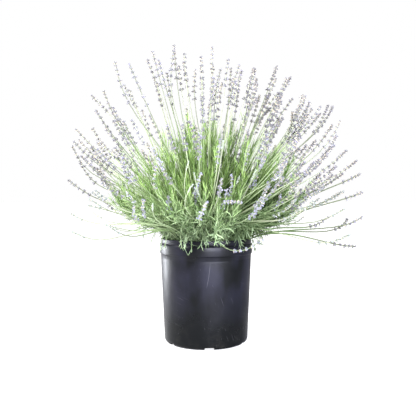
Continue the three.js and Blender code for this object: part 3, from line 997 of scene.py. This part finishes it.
class Branch(Growth):
    """One branch as it grows: a rooted stem, then its stalks, leaves and spikes."""

    def __init__(self, stem, shapes, settings, seed):
        super().__init__()
        self.shapes = shapes
        self.settings = settings
        self.rng = np.random.default_rng(seed)
        self.leaves = Leaves()
        foot = np.array((*stem.spot * CROWN_RADIUS, SOIL_TOP - HOLE_DEPTH))
        root = Arc(*(foot + UP * rise for rise in (0, 0.006, 0.011, HOLE_DEPTH + 0.0005)))
        self.add_tube(root, 0, root.length, (TRUNK_RADIUS, TRUNK_RADIUS), TRUNK_TONE)
        self.add_tube(stem, 0, stem.fork + 0.026, (TRUNK_RADIUS, 0.0017), TRUNK_TONE)

    def add_tube(self, path, start, end, radii, tone):
        stalk = self.shapes["stalk"]
        self.add(stalk, along_path(stalk, path, start, end, radii), tone)

    def plant(self, kind, roots, ways, widths, lengths, turns, *marks):
        """Adds copies of one shape, with their tone, tint and youth."""
        shape = self.shapes[kind]
        self.add(shape, planted(shape, roots, ways, widths, lengths, turns), *marks)

    def add_stalk(self, path, start, base, tip):
        """A stalk from a distance along its path to just short of its tip, with a radius at each."""
        drawn = self.rng.uniform(0, 1)
        tone = drawn if path.tone is None else path.tone
        self.add_tube(path, start, path.length - 0.003, (base, tip), tone)

    def add_leaf_pairs(self, path, start, end, gap, length, lean, axils=2, droop=0.0):
        """Pairs of leaves up a shoot, each pair a quarter turn on, with short ones in their axils.
        Near the pot they are shorter and stand off the shoot more, elsewhere they turn upwards."""
        rng = self.rng
        distances = np.arange(start, end, gap)
        count = len(distances)
        share = (distances - start) / max(end - start, 1e-6)
        points, along, across, third = path.frames(distances)
        low = smooth((LOW_LEAVES - points[:, 2]) / 0.10)
        quarter = np.arange(count) * pi / 2 + rng.uniform(0, pi)
        for member in range(2 + 2 * axils):
            is_axil = member >= 2
            turn = quarter + pi * (member % 2) + rng.normal(0, 0.6 if is_axil else 0.3, count)
            leans = lean * (1.1 - 0.6 * share) * (1 + 0.5 * low) * rng.uniform(0.5, 1.45, count)
            ends = leans * rng.uniform(-0.1, 1.1, count) + rng.normal(0, 1, count) * (0.14 + 0.70 * low)
            sways = rng.normal(0, 1, count) * (0.28 + 0.55 * low)
            size = length * (1.05 - 0.2 * share) * (1 - 0.30 * low) * rng.uniform(0.55, 1.1, count)
            size = size * (rng.uniform(0.35, 0.65, count) if is_axil else 1)
            width = size**0.5 * (0.0042 + 0.0020 * low) * rng.uniform(0.75, 1.2, count)
            bends = leans, ends, sways, size, width, droop - 0.45 * (1 - low)
            self.leaves.add(points, along, turned(across, third, turn), *bends)

    def add_whorl(self, path, distance, share, facing, look):
        """Calyces in two tiers, most of them to both sides of the stalk, two bracts below them and
        a few open flowers. A whorl's share is how far up its spike it stands."""
        tone, tint, youth, size = look
        rng = self.rng
        point, along, across, third = path.frame(distance)
        tiers = (6, 4) if share < 0.7 else (5, 3)
        count = sum(tiers)
        turns = facing + pi * (np.arange(count) % 2) + rng.normal(0, 0.6, count)
        tilts = np.radians(np.repeat((72 - 30 * share, 36 - 18 * share), tiers))
        tilts = (tilts + rng.normal(0, 0.14, count)) * (1 - 0.6 * youth)
        out = turned(across, third, turns)
        ways = unit(turned(along, out, tilts))
        roots = point + out * 0.0008 + along * np.repeat((0.0, 0.0012), tiers)[:, None]
        lengths = size * rng.uniform(0.8, 1.15, count) * (1 - 0.2 * share)
        tones = np.clip(tone + rng.normal(0, 0.2, count), 0, 1)
        self.plant("calyx", roots, ways, lengths * 0.25, lengths, turns, tones, tint, youth)
        opened = rng.uniform(0, 1, count) < (1 - youth) * (0.06 + 0.08 * tint)
        if opened.any():
            mouths = (roots + ways * lengths[:, None] * 0.75)[opened]
            spread = np.full(opened.sum(), 0.0021)
            sizes = spread, spread * 1.35
            tones = rng.uniform(0.5, 1, opened.sum())
            self.plant("corolla", mouths, ways[opened], *sizes, turns[opened], tones, tint, youth)
        turns = facing + np.array((0, pi))
        out = turned(across, third, turns)
        roots = point - along * 0.0008 + out * 0.0006
        lengths = np.full(2, 0.0046 * (1 - 0.6 * youth))
        ways = unit(out * 0.9 + along * 0.5)
        self.plant("bract", roots, ways, lengths * 0.35, lengths, turns, 0.5)

    def add_spike(self, path, is_even):
        """The whorls of one spike, from its neck to its tip, each a quarter turn from the last.
        Some are in bud. Those of the even growth are meagre where they end low and far out."""
        rng = self.rng
        x, y, height = path.at(np.array([path.length]))[0]
        tint = spike_tint(x, height, rng)
        chosen = rng.uniform() < 0.5 * (tint - 0.3)
        in_bud = chosen if path.in_bud is None else path.in_bud
        meagre = smooth((0.38 - height) / 0.06) * smooth((np.hypot(x, y) - 0.24) / 0.04) * is_even
        youth = 1.0 if in_bud else 0.6 * meagre
        full = self.settings.calyx_length
        size = full * (1 - 0.25 * tint) * (1 - 0.3 * youth) * rng.uniform(0.88, 1.1)
        facing = rng.uniform(0, pi)
        # Tone is random, and darker towards the plant's right (+X) as painted shade on that side
        tone = float(np.clip(rng.uniform(0.2, 1) - 2.2 * x, 0, 1))
        is_full = rng.uniform() < 0.8 * smooth((x - 0.04) / 0.10) * is_even
        if in_bud:
            rises = BUD_WHORLS
        elif is_full:
            rises = FULL_WHORLS
        elif meagre > 0.4:
            rises = WHORLS[2:]
        elif height > TALL_SPIKE:
            rises = LOWER_WHORLS[rng.integers(0, 3) :] + WHORLS
        else:
            rises = WHORLS
        for i, rise in enumerate(rises):
            distance = path.length - SPIKE_LENGTH + rise
            share = max(0, rise) / WHORLS[-1]
            self.add_whorl(path, distance, share, facing + i * pi / 2, (tone, tint, youth, size))

    def finished(self, name):
        """The branch as a piece, once its leaves are laid in place."""
        leaf = self.shapes["leaf"]
        places = self.leaves.places(leaf, self.rng)
        self.add(leaf, places, self.rng.uniform(0, 1, len(places)))
        return self.piece(name)


# ---------- flower sprays ----------

# Where the plant carries more stalks than its even growth gives: how far out and at what turn in
# degrees on the crown, how widely scattered, how many, and the longest.
FULLER_PLACES = (
    (0.45, 0, 0.100, 24, 0.450),
    (0.14, 30, 0.09, 9, 0.465),
    (0.26, 170, 0.14, 10, 0.480),
    (0.64, 182, 0.09, 6, 0.400),
    (0.03, 90, 0.09, 5, 0.470),
)
# Stalks that stray from the even growth, some far out and some near the front: two places each is
# drawn towards, its tip, and whether its spike is in bud.
FAR_STRAYS = (
    ((0.150, 0.020, 0.320), (0.280, -0.010, 0.345), (0.354, -0.020, 0.388), False),
    ((0.130, 0.060, 0.310), (0.260, 0.080, 0.330), (0.338, 0.080, 0.392), False),
    ((0.130, -0.020, 0.300), (0.300, -0.040, 0.318), (0.352, -0.040, 0.345), False),
    ((0.120, -0.040, 0.290), (0.300, -0.030, 0.238), (0.356, -0.030, 0.290), False),
    ((0.120, 0.030, 0.300), (0.310, 0.040, 0.210), (0.340, 0.040, 0.282), False),
    ((0.140, -0.060, 0.300), (0.250, -0.080, 0.225), (0.330, -0.070, 0.226), False),
    ((0.150, -0.050, 0.310), (0.210, -0.090, 0.235), (0.268, -0.080, 0.292), False),
)
NEAR_STRAYS = (
    ((0.012, -0.110, 0.300), (0.030, -0.150, 0.170), (0.125, -0.115, 0.247), False),
    ((-0.015, -0.115, 0.315), (-0.060, -0.250, 0.315), (-0.032, -0.230, 0.405), True),
    ((0.010, -0.120, 0.310), (-0.075, -0.245, 0.285), (-0.024, -0.235, 0.360), True),
    ((0.000, -0.115, 0.305), (-0.030, -0.240, 0.255), (0.002, -0.240, 0.326), False),
    ((0.010, -0.120, 0.300), (0.005, -0.260, 0.335), (0.070, -0.225, 0.324), False),
    ((0.045, -0.110, 0.300), (0.070, -0.225, 0.262), (0.113, -0.215, 0.326), False),
    ((0.020, -0.115, 0.315), (0.090, -0.215, 0.345), (0.145, -0.200, 0.374), True),
    ((-0.050, -0.110, 0.305), (-0.120, -0.215, 0.310), (-0.096, -0.210, 0.396), False),
    ((-0.070, -0.095, 0.305), (-0.140, -0.190, 0.262), (-0.122, -0.200, 0.330), False),
    ((-0.080, -0.085, 0.300), (-0.160, -0.165, 0.255), (-0.143, -0.190, 0.317), False),
    ((-0.055, -0.105, 0.300), (-0.110, -0.195, 0.255), (-0.104, -0.210, 0.323), True),
)


def aimed_stem(main, fork, aim, length, rng):
    """A curved side stem of a main stem that ends up leaning as if from another crown spot."""
    offset = aim - main.spot
    way = np.arctan2(offset[1], offset[0])
    stem = Stem(main.branch, fork, way, np.hypot(*offset), length, rng.uniform(0.2, 0.8))
    stem.meander = rng.normal(0, 0.03, 2)
    return stem


def finer_stalks(sprays, settings):
    """For each spray, the finer stalks besides its main ones."""
    rng = np.random.default_rng(11)
    finer = [[] for _ in sprays]
    for more, (main, *_) in zip(finer, sprays):
        for _ in range(settings.more_stalks):
            way = rng.uniform(0, 2 * pi)
            aim = main.spot + STALK_SPREAD * rng.uniform(0.5, 1.0) * heading(way)
            length = (STALK_REACH - STALK_REACH_LOST * np.hypot(*aim)) * rng.uniform(0.62, 0.97)
            more.append(aimed_stem(main, main.fork + 0.008, aim, length, rng))
    spots = np.array([main.spot for main, *_ in sprays])
    for out, turn, scatter, count, longest in FULLER_PLACES:
        for i in range(count):
            spread = scatter * 1.8 * ((i + 0.5) / count) ** 0.5
            aim = out * heading(radians(turn)) + spread * heading(i * GOLDEN_TURN)
            aim += rng.normal(0, 0.012, 2)
            closest = int(np.argmin(np.linalg.norm(spots - aim, axis=1)))
            main = sprays[closest][0]
            fork = main.fork + 0.007 * len(finer[closest])
            finer[closest].append(aimed_stem(main, fork, aim, longest * rng.uniform(0.78, 1), rng))
    return finer


def low_stalk(turn, rng):
    """A stalk that leaves the crown low down and rises in front of the leaves, on any side."""
    reach = rng.uniform(0.17, 0.26)
    top = rng.uniform(0.30, 0.45)
    rise = (top - 0.27) * 0.35
    veer = rng.normal(0, 0.35)
    start = (rng.uniform(0.055, 0.080), SOIL_TOP - 0.004, 0)
    bends = (reach * 0.46, 0.272 + rise, 0.1), (reach * 0.90, 0.250 + rise * 1.7, 0.6)
    path = veering_arc(turn, veer, (start, *bends, (reach, top, 1)))
    path.girth = 0.8
    return path


def stray_stalk(first, second, tip, in_bud, girth, tone):
    """A stalk drawn towards two places on its way from the edge of the crown to its tip."""
    foot = unit(np.array((first[0], first[1], 0.0))) * 0.062 + UP * (SOIL_TOP - 0.004)
    path = Arc(foot, first, second, tip)
    path.in_bud = in_bud
    path.girth = girth
    path.tone = tone
    return path


def loose_stalks(sprays, settings):
    """For each spray, the stalks that stand outside the plant's even growth."""
    rng = np.random.default_rng(7)
    loose = [[] for _ in sprays]
    for turn in 2 * pi * (np.arange(settings.low_stalks) + 0.3) / settings.low_stalks:
        loose[nearest(turn, sprays)].append(low_stalk(turn, rng))
    for strays, *look in ((FAR_STRAYS, 1.45, 0.0), (NEAR_STRAYS, 0.8, 0.7)):
        for row in strays:
            turn = np.arctan2(row[0][1], row[0][0])
            loose[nearest(turn, sprays)].append(stray_stalk(*row, *look))
    return loose


def flower_spray(stems, finer, loose, shapes, settings, seed):
    branch = Branch(stems[0], shapes, settings, seed)
    radius = settings.stalk_radius
    for stem in stems + finer:
        branch.add_stalk(stem, stem.fork, radius * 1.25, radius * 0.65)
        branch.add_spike(stem, True)
        inner = 1 - np.hypot(*stem.spot)
        top = stem.length * (branch.rng.uniform(0.34, 0.52) + 0.16 * inner)
        gap = 0.018 - 0.008 * smooth((inner - 0.45) / 0.3)
        branch.add_leaf_pairs(stem, 0.05, top, gap, settings.leaf_length * 0.95, 0.34, axils=1)
    for path in loose:
        branch.add_stalk(path, 0, radius * path.girth, radius * path.girth * 0.7)
        branch.add_spike(path, False)
    return branch


# ---------- leafy branches ----------

TWIGS = 7  # on each shoot


def twig(path, distance, turn, length, lean):
    """A short side shoot that leaves a shoot at a distance and curves back towards its way."""
    point, along, across, third = path.frame(distance)
    side = turned(across, third, turn)
    away = turned(along, side, lean)
    back = unit(turned(along, side, lean * 0.4) + UP * 0.5)
    middle = point + away * length * 0.35
    return Arc(point, middle, middle + (away + back) * length * 0.16, middle + back * length * 0.65)


def rim_shoot(turn, rng):
    """A short shoot that stands near the edge of the soil and hangs over the rim or leans out."""
    start = rng.uniform(0.066, 0.084)
    reach = rng.uniform(0, 1) ** 1.4
    end = 0.121 + 0.080 * reach
    fall = 0.200 + 0.110 * reach + rng.uniform(0, 0.030)
    rows = (
        (start, SOIL_TOP - 0.004, 0),
        (start + 0.012, OVER_RIM, 0.2),
        (end - 0.008 - 0.024 * reach, 0.284 + 0.035 * reach, 0.7),
        (end, fall, 1),
    )
    return veering_arc(turn, rng.normal(0, 0.30), rows)


def nearest(turn, branches):
    """The place in a list of the branch whose outward direction is nearest to a turn."""
    ways = [np.arctan2(*stems[0].spot[::-1]) for stems in branches]
    return int(np.argmax(np.cos(np.array(ways) - turn)))


def leafy_branch(stems, rim_turns, shapes, settings, seed):
    branch = Branch(stems[0], shapes, settings, seed)
    rng = branch.rng
    full = settings.leaf_length
    for stem in stems:
        branch.add_stalk(stem, stem.fork, 0.0016, 0.0009)
        branch.add_leaf_pairs(stem, stem.length * 0.24, stem.length, settings.leaf_gap, full, 0.62)
        for i in range(TWIGS):
            distance = stem.length * (0.28 + 0.11 * i)
            length = rng.uniform(0.050, 0.090)
            shoot = twig(stem, distance, 2.4 * i + rng.uniform(0, 1), length, rng.uniform(0.35, 0.75))
            branch.add_stalk(shoot, 0, 0.0010, 0.0007)
            branch.add_leaf_pairs(shoot, 0.012, length, 0.0060, full * 0.72, 0.6, axils=1, droop=0.1)
    for turn in rim_turns:
        shoot = rim_shoot(turn, rng)
        branch.add_stalk(shoot, 0, 0.0013, 0.0007)
        branch.add_leaf_pairs(shoot, 0.024, shoot.length, 0.0066, full * 0.68, 0.95, axils=1, droop=0.2)
    return branch


def plant_shapes(settings):
    leaf = leaf_green(settings)
    stem = stem_green(settings)
    calyx = felted("calyx_felt", settings.calyx_shaded_grey, settings.calyx_blue, (0.33, 0.40, 0.31), 0.0002)
    flower = felted("corolla_petal", settings.flower_shaded_grey, settings.flower_blue, (0.6, 0.6, 0.6), 0.0001)
    return {
        "stalk": stalk_template(stem),
        "leaf": leaf_template(leaf),
        "bract": leaf_template(dry_bract()),
        "calyx": calyx_template(calyx),
        "corolla": corolla_template(flower),
    }


# ---------- operators ----------


class LAVENDER_OT_pot(bpy.types.Operator):
    """Models the black nursery pot with its rim bands, dents and drain holes"""

    bl_idname = "lavender.pot"
    bl_label = "Nursery Pot"

    def execute(self, context):
        make_pot(context.scene.lavender_pot)
        return {"FINISHED"}


class LAVENDER_OT_soil(bpy.types.Operator):
    """Models the potting soil with its crumbs of bark"""

    bl_idname = "lavender.soil"
    bl_label = "Potting Soil"

    def execute(self, context):
        make_soil(context.scene.lavender_pot)
        return {"FINISHED"}


class LAVENDER_OT_plant(bpy.types.Operator):
    """Grows the flower sprays and the leafy branches"""

    bl_idname = "lavender.plant"
    bl_label = "Lavender Plant"

    def execute(self, context):
        settings = context.scene.lavender_plant
        shapes = plant_shapes(settings)
        plant = settle()
        sprays = [stems for stems in plant if not is_leafy(stems[0].branch)]
        bushes = [stems for stems in plant if is_leafy(stems[0].branch)]
        finer = finer_stalks(sprays, settings)
        loose = loose_stalks(sprays, settings)
        for i, stalks in enumerate(zip(sprays, finer, loose), 1):
            piece = flower_spray(*stalks, shapes, settings, 100 + i).finished(f"spray_{i:02d}")
            hand_over(piece, "flower_stalks", f"flower_spray_{i:02d}")
        rim_turns = 2 * pi * (np.arange(settings.rim_shoots) + 0.5) / settings.rim_shoots
        for i, stems in enumerate(bushes, 1):
            own = [turn for turn in rim_turns if nearest(turn, bushes) == i - 1]
            piece = leafy_branch(stems, own, shapes, settings, 200 + i).finished(f"foliage_{i:02d}")
            hand_over(piece, "leaves", f"leafy_branch_{i:02d}")
        return {"FINISHED"}


# Each lamp's name, place, the place it faces, its width and height, its power and its colour
LAMPS = (
    ("window_left", (-1.0, 0.56, 0.14), (0, 0, 0.18), (0.28, 0.26), 13.5, (0.92, 0.95, 1.0)),
    ("soft_front", (0.46, -1.5, 0.38), (0, 0, 0.20), (0.98, 0.50), 70, (0.82, 0.84, 1.0)),
    ("soft_right", (1.05, -1.10, 0.28), (0, 0, 0.20), (0.50, 0.30), 9, (0.82, 0.84, 1.0)),
    ("key_left", (-1.10, -0.50, 1.25), (-0.1, 0, 0.35), (0.5, 0.5), 78, (1.0, 0.99, 0.97)),
)
CAMERA_X = 0.0046
CAMERA_TILT = radians(90 - 1.13)  # a little down from level


def add_lamp(name, place, target, size, power, colour):
    light = bpy.data.lights.new(name, "AREA")
    light.shape = "RECTANGLE"
    light.size, light.size_y = size
    light.energy = power
    light.color = colour
    lamp = bpy.data.objects.new(name, light)
    lamp.visible_camera = False
    lamp.location = place
    lamp.rotation_euler = (Vector(target) - Vector(place)).to_track_quat("-Z", "Y").to_euler()
    bpy.context.scene.collection.objects.link(lamp)


def soft_sky(settings):
    """Soft light that is strongest from above and from behind. The backdrop itself is white."""
    world = bpy.data.worlds.new("soft_sky")
    graph = Graph(world)
    way = graph.node("ShaderNodeTexCoord", {}, {}, "Generated")
    side, back, up = graph.parts(way)
    left_back = back.clipped() * (0.55 - side * 0.6).clipped()
    seen = graph.node("ShaderNodeLightPath", {}, {}, "Is Camera Ray")
    right = side.clipped() * (back + 1).clipped()
    light = (up.clipped() * 0.9 + left_back * 1.5 + 0.42 - right * 0.40) * settings.sky
    graph.feed(graph.nodes["Background"].inputs["Strength"], light * (1 - seen) + seen)
    graph.nodes["Background"].inputs["Color"].default_value = (1, 1, 1, 1)
    return world


class LAVENDER_OT_stage(bpy.types.Operator):
    """Sets the floor, the soft light and the camera"""

    bl_idname = "lavender.stage"
    bl_label = "Stage"

    def execute(self, context):
        settings = context.scene.lavender_stage
        deselect_all()
        bpy.ops.mesh.primitive_circle_add(vertices=64, radius=30, fill_type="NGON")
        floor = bpy.context.object
        floor.name = "pale_floor"
        f = Finish("pale_floor", Emission_Strength=0.8)
        seen = f.node("ShaderNodeLightPath", {}, {}, "Is Camera Ray")
        f.feed(f.shader.inputs["Emission Color"], f.blend(seen, (0, 0, 0), (1, 1, 1)))
        paper = f.speckle(6, 3)
        colour = f.blend(paper * 0.3, settings.floor, (0.33, 0.33, 0.33))
        floor.data.materials.append(f.finish(colour, paper * 0.1 + 0.75, paper, 0.0001))
        context.scene.world = soft_sky(settings)
        for lamp in LAMPS:
            add_lamp(*lamp)
        camera = bpy.data.cameras.new("camera")
        camera.lens = settings.lens
        camera.sensor_width = 36
        viewer = bpy.data.objects.new("camera", camera)
        viewer.location = (CAMERA_X, -settings.distance, settings.height)
        viewer.rotation_euler = (CAMERA_TILT, 0, 0)
        context.scene.collection.objects.link(viewer)
        context.scene.camera = viewer
        context.scene.view_settings.view_transform = "Standard"
        return {"FINISHED"}


class LAVENDER_PT_parts(bpy.types.Panel):
    """Lists the pieces of the potted lavender"""

    bl_idname = "LAVENDER_PT_parts"
    bl_label = "Potted Lavender"
    bl_space_type = "VIEW_3D"
    bl_region_type = "UI"
    bl_category = "Lavender"

    def draw(self, context):
        for operator in OPERATORS:
            self.layout.operator(operator.bl_idname)
        for group in ("lavender_pot", "lavender_plant", "lavender_stage"):
            settings = getattr(context.scene, group)
            for name in settings.__annotations__:
                self.layout.prop(settings, name)


OPERATORS = (LAVENDER_OT_pot, LAVENDER_OT_soil, LAVENDER_OT_plant, LAVENDER_OT_stage)
CLASSES = (PotSettings, PlantSettings, StageSettings, *OPERATORS, LAVENDER_PT_parts)


def register():
    for made in CLASSES:
        bpy.utils.register_class(made)
    bpy.types.Scene.lavender_pot = PointerProperty(type=PotSettings)
    bpy.types.Scene.lavender_plant = PointerProperty(type=PlantSettings)
    bpy.types.Scene.lavender_stage = PointerProperty(type=StageSettings)


def unregister():
    del bpy.types.Scene.lavender_stage
    del bpy.types.Scene.lavender_plant
    del bpy.types.Scene.lavender_pot
    for made in reversed(CLASSES):
        bpy.utils.unregister_class(made)


def main():
    register()
    bpy.ops.lavender.pot()
    bpy.ops.lavender.soil()
    bpy.ops.lavender.plant()
    bpy.ops.lavender.stage()
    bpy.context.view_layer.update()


if __name__ == "__main__":
    main()
